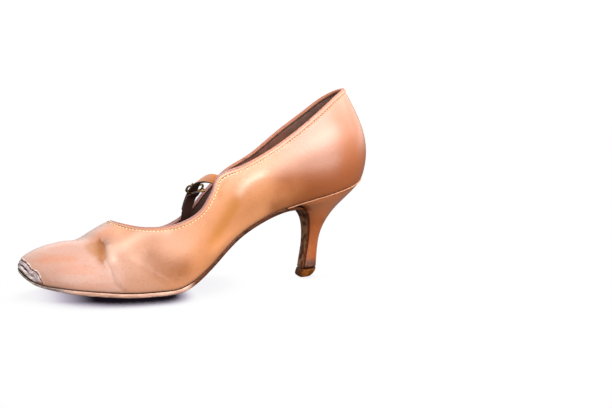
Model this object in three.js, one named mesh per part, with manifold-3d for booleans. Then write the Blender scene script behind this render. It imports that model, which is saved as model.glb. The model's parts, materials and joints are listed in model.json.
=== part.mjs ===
// A worn closed-toe dance shoe for the right foot, with an instep strap and a slim covered heel.
// Millimetres, +Z up, toe towards -X, heel towards +X. The inner side of the foot faces -Y.
// The pieces are laid out from the middle of the heel tip on the floor, and the finished group is then
// moved so that its origin lies on the floor under the middle of the shoe.
import * as THREE from "three";
import { mergeVertices } from "three/addons/utils/BufferGeometryUtils.js";
import Module from "manifold-3d";

const wasm = await Module();
wasm.setup();

// Driving dimensions: thicknesses and clearances
const WALL = 1.8; // upper leather with its lining
const SOLE = 2.8; // outsole at the tread
const WAIST_SOLE = 2.1; // outsole trimmed thin under the arch
const FLAP = 1.4; // outsole where it runs down the breast of the heel
const FLAP_INSET = 1.2; // edge of the flap behind the edge of the breast
const INSOLE = 2;
const GAP = 0.3; // between pieces that meet
const SOLE_INSET = 0.4; // sole edge behind the upper's feather edge
const SOLE_BEVEL = 1; // further inset of the sole's lower edge
const INSOLE_INSET = WALL + 0.6;

// Driving dimensions: topline binding and heel seat cord
const BINDING_WIDTH = 2.6;
const BINDING_HEIGHT = 1.9;
const BINDING_SIDES = 8;
const CORD_RADIUS = 0.45;
const CORD_SIDES = 6;

// Driving dimensions: strap, buckle and ring
const STRAP_WIDTH = 6.4;
const STRAP_THICK = 1.5;
const FRAME_WIDTH = 13; // across the strap
const FRAME_LENGTH = 7; // along the strap
const WIRE = 1;
const FRAME_CORNER = 2.5;
const FRAME_SHIFT = 2; // the frame hangs towards the heel from the strap's middle
const BUCKLE_CLEARANCE = 0.4;
const PRONG = 1;
const TAB_FOLD = 2.4; // length of the tab past the centre bar
const TAB_RISE = 4.5; // length over which the tab comes up from the bar to lie under the strap
const RING_WIDTH = 11;
const RING_HEIGHT = 9;
const RING_WIRE = 1.4;
const RING_CORNER = 2.6;
const RING_SECTION = 10.4;
const RING_CLEARANCE = 0.9; // to the inner edge of the binding
const RING_HEIGHT_SHARE = 0.72; // share of the wall's height at the middle of the ring

// Fineness of the faceted surfaces
const STEPS_PER_SECTION = 2;
const WALL_ROWS = 12;
const ACROSS = 4; // strips across the sole and the insole
const HEEL_POINTS = 24;
const STRAP_STEPS = 36;
const TAB_STEPS = 24;

// Rows of numbers as records with named columns.
function table(columns, rows) {
  return rows.map((row) => Object.fromEntries(columns.map((name, i) => [name, row[i]])));
}

// Height of the feather edge, where the upper meets the sole: toe spring, flat tread, arch and heel seat.
const FEATHER_HEIGHT = table(
  ["x", "z"],
  [
    [-188, 19.2],
    [-184.5, 15.6],
    [-181, 12.6],
    [-178, 10.8],
    [-173, 9.1],
    [-164, 7.8],
    [-151, 6.1],
    [-138, 4.7],
    [-128, 3.7],
    [-118, SOLE + GAP],
    [-95, SOLE + GAP],
    [-92, 3.6],
    [-86, 5.8],
    [-80, 9.1],
    [-74, 13.2],
    [-68, 18],
    [-62, 23.6],
    [-55, 30],
    [-49, 34.6],
    [-42, 38.9],
    [-35, 42.8],
    [-28, 46.2],
    [-20, 49.2],
    [-15, 51],
    [-2, 54.7],
    [12, 58.5],
    [25, 62.2],
    [33, 65],
    [39.6, 68.2],
  ],
);

// Thickness of the outsole, worn thin at the toe, full at the tread and trimmed under the arch.
const SOLE_THICKNESS = table(
  ["x", "z"],
  [
    [-190, 1.2],
    [-177, 1.3],
    [-168, 1.8],
    [-158, 2.5],
    [-148, SOLE],
    [-86, SOLE],
    [-74, 2.3],
    [-62, WAIST_SOLE],
    [-15, WAIST_SOLE],
  ],
);

// A section of the last for each row, from the toe to the back of the heel: the two edges of the sole seen
// from above, and the wall's lean in degrees, outwards at the feather edge and inwards at the top.
const SECTIONS = table(
  ["x", "inner", "outer", "innerFlare", "outerFlare", "innerLean", "outerLean"],
  [
    [-186.6, -4, -4, 12, 12, 60, 60],
    [-184, -13, 5, 12, 12, 68, 68],
    [-178, -20.5, 13.5, 12, 12, 78, 78],
    [-168, -27, 22, 10, 10, 85, 85],
    [-155, -32.3, 30, 8, 8, 88, 88],
    [-140, -35.2, 36.2, 6, 8, 88, 88],
    [-125, -37.2, 40, 6, 10, 86, 86],
    [-111, -37.3, 41.5, 8, 10, 62, 62],
    [-98, -36, 41, 10, 12, 38, 50],
    [-86, -32.4, 38.8, 15, 14, 20, 40],
    [-74, -26.8, 35.4, 23, 18, 9, 26],
    [-62, -21.8, 31.8, 31, 20, 5, 13],
    [-49, -19.3, 28.4, 38, 22, 7, 8],
    [-35, -19.2, 25.6, 38, 25, 10, 9],
    [-20, -21.2, 24.4, 32, 26, 12, 11],
    [-5, -24.4, 25.6, 24, 23, 16, 15],
    [10, -26.2, 26.4, 17, 17, 21, 21],
    [25, -22.4, 22.4, 15, 15, 26, 26],
    [35, -13.6, 13.6, 18, 18, 29, 29],
    [39.6, 0, 0, 21.5, 21.5, 31.5, 31.5],
  ],
);
const LAST = SECTIONS.length - 1;
const THROAT = 6; // the section whose top is the front of the opening
const SOLE_START = 0.25; // sections where the sole and the insole start and end
const SOLE_END = 14; // behind it the sole turns down into the flap
const INSOLE_START = 1;
const INSOLE_END = LAST - 0.25;
const LOW_HANDLE = 0.38; // reach of the wall's curve from each end, as a share of its height
const HIGH_HANDLE = 0.4;

// Ridge along the top of the vamp, a row for each section up to the throat.
const RIDGE_SIDE = -4; // the ridge lies towards the inner side
const RIDGE = table(
  ["x", "z"],
  [
    [-183.4, 23],
    [-182, 24.1],
    [-178, 26.7],
    [-169.5, 29.9],
    [-158.5, 32],
    [-146.5, 34.6],
    [-131.5, 43.6],
  ],
);

// Topline, a row for each section from the throat to the back of the heel.
const TOPLINE = table(
  ["innerX", "innerY", "innerZ", "outerX", "outerY", "outerZ"],
  [
    [-131.5, RIDGE_SIDE, 43.6, -131.5, RIDGE_SIDE, 43.6],
    [-127, -14.6, 42.6, -127, 6.6, 40.9],
    [-112, -24.8, 40, -112, 17, 35.8],
    [-93.5, -30, 41.6, -95, 25.4, 33.4],
    [-79, -31.4, 48.8, -81.5, 29.4, 38],
    [-70.5, -31, 60.8, -70.8, 30.6, 46.6],
    [-65.8, -29.6, 70.8, -61.5, 30, 57.4],
    [-49.5, -27.8, 76.9, -48, 28.4, 70.6],
    [-31.5, -25.8, 86, -31, 26.4, 81.2],
    [-12.3, -22.7, 98.4, -12.5, 23.2, 96.8],
    [4.8, -18.8, 111.1, 4.8, 19, 110.4],
    [16.5, -13.8, 119.8, 16.5, 13.9, 119.8],
    [24.4, -7.8, 124.5, 24.4, 7.8, 124.5],
    [27.8, 0, 125.9, 27.8, 0, 125.9],
  ],
);

// Levels of the heel from the seat down: the breast's front face, half its width, the back of the heel and
// half the greatest width.
const HEEL = table(
  ["breastX", "breastZ", "breastHalf", "backX", "backZ", "half"],
  [
    [-16, 47.6, 22.2, 39, 66.8, 25.2],
    [-9.5, 47.4, 18.8, 36, 62.6, 23.2],
    [-4.6, 44.9, 13.6, 28.8, 55.6, 18],
    [-2.4, 40.8, 9.8, 20.4, 47.4, 12.6],
    [-1.6, 35.8, 7.8, 13.6, 38.2, 9.2],
    [-1.4, 29.5, 6.8, 9.5, 29.2, 7.5],
    [-2.2, 20.5, 6.2, 8, 20.5, 6.5],
    [-4.6, 6.7, 6.4, 7, 6.7, 6.6],
  ],
);
const SEAT_START = SOLE_END + 0.5; // section at the front of the heel seat
const SEAT_INSET = 0.9; // heel edge behind the upper's feather edge
const CORD_START = SOLE_END; // section at each end of the cord, in front of the seat
const THINNED_LEVELS = 2; // levels of the heel over which the sole thins to the flap

// Levels of the heel tip from its top down to the floor, with its back edge worn round.
const HEEL_TIP = table(
  ["z", "front", "back", "half"],
  [
    [6, -4.8, 7, 6.7],
    [4.6, -5.4, 6.9, 7.2],
    [2.2, -6, 5.4, 7.5],
    [0.9, -6.2, 3.6, 7.4],
    [0, -5.5, 1.6, 6.8],
  ],
);
const TIP_FRONT_SHARE = 0.94; // width of its straight front as a share of its greatest width

// Route of the strap's middle from the seam inside the inner side over the instep to its tail, and the
// slope of its width in degrees, which follows the instep up towards the heel.
const STRAP_ROUTE = table(
  ["x", "y", "z", "slope"],
  [
    [-57, -26.2, 60.6, 50],
    [-61.5, -26.1, 64.6, 50],
    [-65.5, -24.8, 68.2, 50],
    [-68, -20.6, 69.4, 50],
    [-70, -13.6, 69.4, 46],
    [-71.6, -4.8, 68, 40],
    [-72.4, 4.1, 66, 34],
    [-72.8, 12, 63, 26],
    [-73.7, 17.4, 59, 18],
    [-75.1, 20.8, 54, 12],
    [-76.4, 23.2, 48.6, 6],
    [-77.2, 25.3, 43.3, 2],
    [-77.4, 27.6, 37.6, 0],
  ],
);
const BUCKLE_AT = 0.7; // shares of the route
const TAIL_AT = 0.9;

const UP = new THREE.Vector3(0, 0, 1);
const INNER = -1;
const OUTER = 1;

// A smooth height along x that keeps level stretches level: slopes are harmonic means of their neighbours.
function heightAlong(rows) {
  const rises = rows.slice(1).map((row, i) => (row.z - rows[i].z) / (row.x - rows[i].x));
  const slopes = rows.map((_, i) => {
    const before = rises[Math.max(i - 1, 0)];
    const after = rises[Math.min(i, rises.length - 1)];
    return before * after <= 0 ? 0 : (2 * before * after) / (before + after);
  });
  return (x) => {
    const next = rows.findIndex((row, i) => i > 0 && x <= row.x);
    const i = next < 0 ? rows.length - 2 : next - 1;
    const span = rows[i + 1].x - rows[i].x;
    const t = (x - rows[i].x) / span;
    const ease = t * t * (3 - 2 * t);
    const start = t * (1 - t) * (1 - t) * span * slopes[i];
    const end = t * t * (t - 1) * span * slopes[i + 1];
    return rows[i].z + (rows[i + 1].z - rows[i].z) * ease + start + end;
  };
}
const featherHeight = heightAlong(FEATHER_HEIGHT);
const soleThickness = heightAlong(SOLE_THICKNESS);

// A closed curve that runs along the inner side from front to back and returns along the outer side.
function bothSides(rows, innerPoint, outerPoint) {
  const there = rows.map(innerPoint);
  const back = rows.slice(1, -1).map(outerPoint).reverse();
  return new THREE.CatmullRomCurve3([...there, ...back], true, "centripetal");
}

function onSide(curve, side, section) {
  const share = section / curve.points.length;
  return curve.getPoint(side === INNER ? share : (1 - share) % 1);
}

const outlineCurve = bothSides(
  SECTIONS,
  (row) => new THREE.Vector3(row.x, row.inner, 0),
  (row) => new THREE.Vector3(row.x, row.outer, 0),
);
const toplineCurve = bothSides(
  TOPLINE,
  (row) => new THREE.Vector3(row.innerX, row.innerY, row.innerZ),
  (row) => new THREE.Vector3(row.outerX, row.outerY, row.outerZ),
);
const ridgeCurve = new THREE.CatmullRomCurve3(
  RIDGE.map((row) => new THREE.Vector3(row.x, RIDGE_SIDE, row.z)),
);
const wallLean = {
  [INNER]: new THREE.SplineCurve(SECTIONS.map((row) => new THREE.Vector2(row.innerFlare, row.innerLean))),
  [OUTER]: new THREE.SplineCurve(SECTIONS.map((row) => new THREE.Vector2(row.outerFlare, row.outerLean))),
};

// The level direction that points out of the shoe at a section of the outline.
function outwards(side, section) {
  const step = 0.05;
  const round = outlineCurve.points.length;
  const before = onSide(outlineCurve, side, (section - step + round) % round);
  const after = onSide(outlineCurve, side, section + step);
  const along = after.sub(before).normalize();
  return new THREE.Vector3(-side * along.y, side * along.x, 0);
}

// A point of the outline moved inwards by an inset, at the height of the feather edge.
function featherPoint(side, section, inset = 0) {
  const point = onSide(outlineCurve, side, section);
  point.addScaledVector(outwards(side, section), -inset);
  point.z = featherHeight(point.x);
  return point;
}

function topPoint(side, section) {
  if (section <= THROAT) return ridgeCurve.getPoint(section / THROAT);
  return onSide(toplineCurve, side, section - THROAT);
}

// The curve of the wall's outer face at a section, from the feather edge to the ridge or the topline.
function wallCurve(side, section) {
  const foot = featherPoint(side, section);
  const top = topPoint(side, section);
  const out = outwards(side, section);
  const angles = wallLean[side].getPoint(section / LAST);
  const flare = THREE.MathUtils.degToRad(angles.x);
  const lean = THREE.MathUtils.degToRad(angles.y);
  const reach = foot.distanceTo(top);
  const low = foot.clone();
  low.addScaledVector(UP, LOW_HANDLE * reach * Math.cos(flare));
  low.addScaledVector(out, LOW_HANDLE * reach * Math.sin(flare));
  const high = top.clone();
  high.addScaledVector(UP, -HIGH_HANDLE * reach * Math.cos(lean));
  high.addScaledVector(out, HIGH_HANDLE * reach * Math.sin(lean));
  return new THREE.CubicBezierCurve3(foot, low, high, top);
}

// A closed geometry from points and triangles, turned so that its faces point out.
function closedGeometry(points, triangles) {
  let volume = 0;
  for (let i = 0; i < triangles.length; i += 3) {
    const [a, b, c] = [0, 1, 2].map((k) => points[triangles[i + k]]);
    volume += a.dot(b.clone().cross(c));
  }
  const order = volume < 0 ? [...triangles].reverse() : triangles;
  const geometry = new THREE.BufferGeometry();
  geometry.setFromPoints(points);
  geometry.setIndex(order);
  return geometry;
}

// A solid through loops with equal counts of points. Its ends are closed by zipping each end loop, or it
// runs round and closes on itself.
function loft(loops, round = false) {
  const count = loops[0].length;
  const triangles = [];
  const quad = (a, b, c, d) => triangles.push(a, b, c, a, c, d);
  const spans = round ? loops.length : loops.length - 1;
  for (let i = 0; i < spans; i++) {
    const here = i * count;
    const there = ((i + 1) % loops.length) * count;
    for (let j = 0; j < count; j++) {
      const k = (j + 1) % count;
      quad(here + j, here + k, there + k, there + j);
    }
  }
  if (!round) {
    const end = (loops.length - 1) * count;
    for (let j = 0; j < count / 2 - 1; j++) {
      const k = count - 1 - j;
      quad(j, k, k - 1, j + 1);
      quad(end + j + 1, end + k - 1, end + k, end + j);
    }
  }
  return closedGeometry(loops.flat(), triangles);
}

// A surface of triangles given a wall inwards, with a rim along its open edges.
function thicken(surface, wall) {
  const position = surface.attributes.position;
  const normal = surface.attributes.normal;
  const count = position.count;
  const outer = [];
  const inner = [];
  for (let i = 0; i < count; i++) {
    const point = new THREE.Vector3().fromBufferAttribute(position, i);
    outer.push(point);
    inner.push(point.clone().addScaledVector(new THREE.Vector3().fromBufferAttribute(normal, i), -wall));
  }
  const triangles = [...surface.index.array];
  const edges = new Map();
  for (let i = 0; i < surface.index.count; i += 3) {
    const [a, b, c] = triangles.slice(i, i + 3);
    triangles.push(c + count, b + count, a + count);
    for (const [from, to] of [[a, b], [b, c], [c, a]]) edges.set(from + "," + to, [from, to]);
  }
  for (const [from, to] of edges.values()) {
    if (edges.has(to + "," + from)) continue;
    triangles.push(to, from, from + count);
    triangles.push(to, from + count, to + count);
  }
  return closedGeometry([...outer, ...inner], triangles);
}

// Outer face of the upper, with both sides welded along the toe, the ridge and the back seam.
function upperSurface() {
  const corners = [];
  const columns = LAST * STEPS_PER_SECTION;
  for (const side of [INNER, OUTER]) {
    const grid = [];
    for (let i = 0; i <= columns; i++) grid.push(wallCurve(side, i / STEPS_PER_SECTION).getPoints(WALL_ROWS));
    for (let i = 0; i < columns; i++) {
      for (let j = 0; j < WALL_ROWS; j++) {
        const [a, b, c, d] = [grid[i][j], grid[i + 1][j], grid[i + 1][j + 1], grid[i][j + 1]];
        corners.push(...(side === INNER ? [a, b, c, a, c, d] : [a, c, b, a, d, c]));
      }
    }
  }
  const surface = mergeVertices(new THREE.BufferGeometry().setFromPoints(corners), 1e-3);
  surface.computeVertexNormals();
  return surface;
}

function nearestNormal(surface, point) {
  const position = surface.attributes.position;
  const vertex = new THREE.Vector3();
  let nearest = 0;
  let least = Infinity;
  for (let i = 0; i < position.count; i++) {
    const distance = vertex.fromBufferAttribute(position, i).distanceToSquared(point);
    if (distance < least) [nearest, least] = [i, distance];
  }
  return new THREE.Vector3().fromBufferAttribute(surface.attributes.normal, nearest);
}

// A rolled edge that sits on the rim of the wall all round the opening.
function toplineBinding(surface) {
  const count = toplineCurve.points.length * STEPS_PER_SECTION;
  const loops = [];
  for (let i = 0; i < count; i++) {
    const edge = toplineCurve.getPoint(i / count);
    const along = toplineCurve.getTangent(i / count);
    const out = nearestNormal(surface, edge);
    const rise = out.clone().cross(along).normalize();
    const middle = edge.addScaledVector(out, -WALL / 2).addScaledVector(rise, GAP + BINDING_HEIGHT / 2);
    const loop = [];
    for (let j = 0; j < BINDING_SIDES; j++) {
      const angle = (2 * Math.PI * (j + 0.5)) / BINDING_SIDES;
      const point = middle.clone();
      point.addScaledVector(out, (BINDING_WIDTH / 2) * Math.cos(angle));
      point.addScaledVector(rise, (BINDING_HEIGHT / 2) * Math.sin(angle));
      loop.push(point);
    }
    loops.push(loop);
  }
  return loft(loops, true);
}

// A line of points across the shoe at a section, dropped below the feather edge square to its slope.
function acrossLine(section, inset, dropAt) {
  const from = featherPoint(INNER, section, inset);
  const to = featherPoint(OUTER, section, inset);
  const line = [];
  for (let i = 0; i <= ACROSS; i++) {
    const point = from.clone().lerp(to, i / ACROSS);
    const step = 0.5;
    const slope = (featherHeight(point.x + step) - featherHeight(point.x - step)) / (2 * step);
    const down = new THREE.Vector3(slope, 0, -1).normalize();
    point.z = featherHeight(point.x);
    line.push(point.addScaledVector(down, dropAt(point.x)));
  }
  return line;
}

// Stations of a slab between two sections, a few to each section.
function stations(from, to) {
  const count = Math.round((to - from) * STEPS_PER_SECTION);
  return Array.from({ length: count + 1 }, (_, i) => from + ((to - from) * i) / count);
}

// Middle line of the breast's front face from the seat down, and half the breast's width along it.
const breastCurve = new THREE.CatmullRomCurve3(
  HEEL.map((row) => new THREE.Vector3(row.breastX, 0, row.breastZ)),
);
const breastHalves = new THREE.SplineCurve(HEEL.map((row) => new THREE.Vector2(row.breastHalf, 0)));
const BREAST_STEPS = (HEEL.length - 1) * STEPS_PER_SECTION;

function breastNormal(share) {
  const along = breastCurve.getTangent(share);
  return new THREE.Vector3(-along.z, 0, along.x);
}

// How far the sole has become the thin, narrow flap at a share of the breast: 0 at the seat, then 1.
function thinned(share) {
  return Math.min(1, (share * (HEEL.length - 1)) / THINNED_LEVELS);
}

function flapThickness(share) {
  return THREE.MathUtils.lerp(WAIST_SOLE, FLAP, thinned(share));
}

function outsole() {
  const loops = stations(SOLE_START, SOLE_END).map((section) => [
    ...acrossLine(section, SOLE_INSET, () => GAP),
    ...acrossLine(section, SOLE_INSET + SOLE_BEVEL, (x) => GAP + soleThickness(x)).reverse(),
  ]);
  for (let i = 1; i <= BREAST_STEPS; i++) {
    const share = i / BREAST_STEPS;
    const front = breastCurve.getPoint(share);
    const back = front.clone().addScaledVector(breastNormal(share), flapThickness(share));
    const half = breastHalves.getPoint(share).x - FLAP_INSET * thinned(share);
    const line = (point) =>
      Array.from({ length: ACROSS + 1 }, (_, k) => point.clone().setY(half * ((2 * k) / ACROSS - 1)));
    loops.push([...line(back), ...line(front).reverse()]);
  }
  return loft(loops);
}

function insole() {
  const loops = stations(INSOLE_START, INSOLE_END).map((section) => [
    ...acrossLine(section, INSOLE_INSET, () => -GAP - INSOLE),
    ...acrossLine(section, INSOLE_INSET, () => -GAP).reverse(),
  ]);
  return loft(loops);
}

// A loop round the heel: an ellipse cut off by the straight line of the breast.
function heelLoop(front, back, frontHalf, half, heightAt) {
  const turn = Math.PI - Math.asin(Math.min(1, frontHalf / half));
  const loop = [];
  for (let i = 0; i < HEEL_POINTS; i++) {
    const angle = turn * ((2 * i) / (HEEL_POINTS - 1) - 1);
    const x = back - ((back - front) * (1 - Math.cos(angle))) / (1 - Math.cos(turn));
    loop.push(new THREE.Vector3(x, half * Math.sin(angle), heightAt(x)));
  }
  return loop;
}

// The heel's top edge, which follows the feather edge round the seat.
function seatLoop() {
  return Array.from({ length: HEEL_POINTS }, (_, i) => {
    const turn = (2 * i) / (HEEL_POINTS - 1) - 1;
    const section = THREE.MathUtils.lerp(LAST, SEAT_START, Math.abs(turn));
    const point = featherPoint(turn < 0 ? INNER : OUTER, section, SEAT_INSET);
    return point.addScaledVector(UP, -GAP);
  });
}

function heel() {
  const loops = [seatLoop()];
  const backCurve = new THREE.CatmullRomCurve3(
    HEEL.map((row) => new THREE.Vector3(row.backX, row.half, row.backZ)),
  );
  for (let i = STEPS_PER_SECTION; i <= BREAST_STEPS; i++) {
    const share = i / BREAST_STEPS;
    const front = breastCurve.getPoint(share);
    front.addScaledVector(breastNormal(share), flapThickness(share) + GAP);
    const back = backCurve.getPoint(share);
    const slope = (back.z - front.z) / (back.x - front.x);
    const heightAt = (x) => front.z + slope * (x - front.x);
    loops.push(heelLoop(front.x, back.x, breastHalves.getPoint(share).x, back.y, heightAt));
  }
  return loft(loops);
}

function heelTip() {
  const loops = HEEL_TIP.map((row) =>
    heelLoop(row.front, row.back, TIP_FRONT_SHARE * row.half, row.half, () => row.z),
  );
  return loft(loops);
}

// A thin cord in the seam between the upper and the heel, from one end of the breast round to the other.
function heelSeatCord() {
  const inner = stations(CORD_START, LAST);
  const outer = inner.slice(0, -1).reverse();
  const places = [...inner.map((section) => [INNER, section]), ...outer.map((section) => [OUTER, section])];
  const loops = places.map(([side, section]) => {
    const out = outwards(side, section);
    const middle = featherPoint(side, section);
    middle.z -= CORD_RADIUS + GAP / 2;
    return Array.from({ length: CORD_SIDES }, (_, j) => {
      const angle = (2 * Math.PI * j) / CORD_SIDES;
      const point = middle.clone().addScaledVector(out, CORD_RADIUS * Math.cos(angle));
      return point.addScaledVector(UP, CORD_RADIUS * Math.sin(angle));
    });
  });
  return loft(loops);
}

// Directions on a strap: along it, across it towards the heel, and out of its face.
function strapFrame(curve, share) {
  const along = curve.getTangentAt(share);
  const slope = THREE.MathUtils.degToRad(strapSlope.getPoint(curve.getUtoTmapping(share)).y);
  const across = new THREE.Vector3(Math.cos(slope), 0, Math.sin(slope));
  across.addScaledVector(along, -across.dot(along)).normalize();
  const out = across.clone().cross(along).normalize();
  return { along, across, out, middle: curve.getPointAt(share) };
}

// A flat band along a curve between two shares of its length, lying out of it by an offset at each share.
function band(curve, from, to, steps, offsetAt) {
  const loops = [];
  for (let i = 0; i <= steps; i++) {
    const share = from + ((to - from) * i) / steps;
    const { across, out, middle } = strapFrame(curve, share);
    const corner = (a, b) =>
      middle
        .clone()
        .addScaledVector(across, (a * STRAP_WIDTH) / 2)
        .addScaledVector(out, offsetAt(share) + (b * STRAP_THICK) / 2);
    loops.push([corner(-1, 1), corner(1, 1), corner(1, -1), corner(-1, -1)]);
  }
  return loft(loops);
}

// A rectangle with round corners as a path for an outline or a hole.
function roundedRectangle(path, width, height, radius) {
  const [x, y] = [width / 2, height / 2];
  path.moveTo(-x + radius, -y);
  path.lineTo(x - radius, -y);
  path.absarc(x - radius, -y + radius, radius, -Math.PI / 2, 0);
  path.lineTo(x, y - radius);
  path.absarc(x - radius, y - radius, radius, 0, Math.PI / 2);
  path.lineTo(-x + radius, y);
  path.absarc(-x + radius, y - radius, radius, Math.PI / 2, Math.PI);
  path.lineTo(-x, -y + radius);
  path.absarc(-x + radius, -y + radius, radius, Math.PI, 1.5 * Math.PI);
  return path;
}

function wireFrame(width, height, wire, corner) {
  const shape = roundedRectangle(new THREE.Shape(), width, height, corner);
  shape.holes.push(roundedRectangle(new THREE.Path(), width - 2 * wire, height - 2 * wire, corner - wire));
  const geometry = new THREE.ExtrudeGeometry(shape, { depth: wire, bevelEnabled: false, curveSegments: 4 });
  return geometry.translate(0, 0, -wire / 2);
}

// A geometry as a solid for joining and cutting, and back again.
function solidOf(geometry) {
  const bare = new THREE.BufferGeometry();
  bare.setAttribute("position", geometry.attributes.position.clone());
  if (geometry.index) bare.setIndex(geometry.index.clone());
  const merged = mergeVertices(bare, 1e-4);
  const mesh = new wasm.Mesh({
    numProp: 3,
    vertProperties: merged.attributes.position.array,
    triVerts: new Uint32Array(merged.index.array),
  });
  return new wasm.Manifold(mesh);
}

function geometryOf(solid) {
  const mesh = solid.getMesh();
  const geometry = new THREE.BufferGeometry();
  geometry.setAttribute("position", new THREE.BufferAttribute(mesh.vertProperties, 3));
  geometry.setIndex(new THREE.BufferAttribute(mesh.triVerts, 1));
  return geometry;
}

function joined(...geometries) {
  return geometryOf(geometries.map(solidOf).reduce((a, b) => a.add(b)));
}

function cut(geometry, tool) {
  return geometryOf(solidOf(geometry).subtract(solidOf(tool)));
}

function box(width, depth, height, x, y, z) {
  return new THREE.BoxGeometry(width, depth, height).translate(x, y, z);
}

// The buckle in its own frame, with X across the strap towards the heel, Y along it and Z out of its face.
// Its frame lies over the strap and its centre bar under it, joined by two side posts.
const FRAME_OVER = STRAP_THICK / 2 + BUCKLE_CLEARANCE + WIRE / 2;

function buckleFrame() {
  const post = FRAME_WIDTH / 2 - WIRE / 2;
  const frame = wireFrame(FRAME_WIDTH, FRAME_LENGTH, WIRE, FRAME_CORNER).translate(0, 0, FRAME_OVER);
  const bar = box(FRAME_WIDTH, WIRE, WIRE, 0, 0, -FRAME_OVER);
  const posts = [-1, 1].map((side) => box(WIRE, WIRE, 2 * FRAME_OVER, side * post, 0, 0));
  return joined(frame, bar, ...posts).translate(FRAME_SHIFT, 0, 0);
}

// The prong stands on the centre bar, comes up through the strap and lies on the end of the frame.
function buckleProng() {
  const height = FRAME_OVER + WIRE / 2 + GAP + PRONG / 2;
  const length = FRAME_LENGTH / 2 + WIRE / 2;
  const foot = -FRAME_OVER + WIRE / 2 + GAP;
  const pin = box(PRONG, length, PRONG, 0, -length / 2 + PRONG / 2, height);
  const root = box(PRONG, PRONG, height - foot, 0, 0, (height + foot) / 2);
  return joined(pin, root);
}

function prongHole() {
  const side = PRONG + 2 * GAP;
  return box(side, side, 3 * STRAP_THICK, 0, 0, 0);
}

// The ring in its own frame, with X along the topline, Y up the wall and Z out of the shoe.
function collarRing() {
  return wireFrame(RING_WIDTH, RING_HEIGHT, RING_WIRE, RING_CORNER);
}

const LEATHER = new THREE.MeshStandardMaterial({ color: 0xd99468, roughness: 0.4 });
const HEEL_LEATHER = new THREE.MeshStandardMaterial({ color: 0xa8602f, roughness: 0.35 });
const SUEDE = new THREE.MeshStandardMaterial({ color: 0x5a4a44, roughness: 0.9 });
const LINING = new THREE.MeshStandardMaterial({ color: 0x8a6054, roughness: 0.7 });
const BINDING = new THREE.MeshStandardMaterial({ color: 0xd6a08a, roughness: 0.45 });
const CORD = new THREE.MeshStandardMaterial({ color: 0xd9b48c, roughness: 0.7 });
const TIP_PLASTIC = new THREE.MeshStandardMaterial({ color: 0x77400f, roughness: 0.35 });
const BRASS = new THREE.MeshStandardMaterial({ color: 0xb98a3a, roughness: 0.3, metalness: 1 });

const group = new THREE.Group();

function addPiece(name, geometry, material) {
  const mesh = new THREE.Mesh(geometry, material.clone());
  mesh.name = name;
  group.add(mesh);
  return mesh;
}

const surface = upperSurface();
addPiece("upper", thicken(surface, WALL), LEATHER);
addPiece("outsole", outsole(), SUEDE);
addPiece("heel", heel(), HEEL_LEATHER);
addPiece("heel_tip", heelTip(), TIP_PLASTIC);
addPiece("insole", insole(), LINING);
addPiece("topline_binding", toplineBinding(surface), BINDING);
addPiece("heel_seat_cord", heelSeatCord(), CORD);

const strapCurve = new THREE.CatmullRomCurve3(
  STRAP_ROUTE.map((row) => new THREE.Vector3(row.x, row.y, row.z)),
);
const strapSlope = new THREE.SplineCurve(STRAP_ROUTE.map((row, i) => new THREE.Vector2(i, row.slope)));
const buckleSeat = strapFrame(strapCurve, BUCKLE_AT);
const bucklePlace = new THREE.Matrix4()
  .makeBasis(buckleSeat.across, buckleSeat.along, buckleSeat.out)
  .setPosition(buckleSeat.middle);
const strapBand = band(strapCurve, 0, TAIL_AT, STRAP_STEPS, () => 0);
addPiece("instep_strap", cut(strapBand, prongHole().applyMatrix4(bucklePlace)), LEATHER);
const underStrap = -STRAP_THICK - GAP;
const underBar = -FRAME_OVER - WIRE / 2 - GAP - STRAP_THICK / 2;
const tabStart = BUCKLE_AT - TAB_FOLD / strapCurve.getLength();
const tabOffset = (share) => {
  const past = (share - BUCKLE_AT) * strapCurve.getLength();
  return THREE.MathUtils.lerp(underBar, underStrap, THREE.MathUtils.smoothstep(past, WIRE, TAB_RISE));
};
addPiece("buckle_tab", band(strapCurve, tabStart, 1, TAB_STEPS, tabOffset), LEATHER);
addPiece("buckle_frame", buckleFrame(), BRASS).applyMatrix4(bucklePlace);
addPiece("buckle_prong", buckleProng(), BRASS).applyMatrix4(bucklePlace);

const ringWall = wallCurve(OUTER, RING_SECTION);
const ringSeat = ringWall.getPoint(RING_HEIGHT_SHARE);
const ringOut = nearestNormal(surface, ringSeat);
const ringUp = ringWall.getTangent(RING_HEIGHT_SHARE);
ringUp.addScaledVector(ringOut, -ringUp.dot(ringOut)).normalize();
const ringInset = WALL / 2 + BINDING_WIDTH / 2 + RING_CLEARANCE + RING_WIRE / 2;
const ringPlace = new THREE.Matrix4()
  .makeBasis(ringUp.clone().cross(ringOut), ringUp, ringOut)
  .setPosition(ringSeat.addScaledVector(ringOut, -ringInset));
addPiece("collar_ring", collarRing(), BRASS).applyMatrix4(ringPlace);

const bounds = new THREE.Box3().setFromObject(group);
const middle = bounds.getCenter(new THREE.Vector3());
group.position.set(-middle.x, -middle.y, -bounds.min.z);

export default group;
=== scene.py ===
# A worn dance shoe for the right foot, dressed round its solid model.
# Metres, toe towards -X, inner side of the foot towards -Y. Tables of points are in millimetres.
import json
import math

import bpy
import numpy as np
from mathutils import Matrix, Vector, noise
from mathutils.bvhtree import BVHTree

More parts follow.
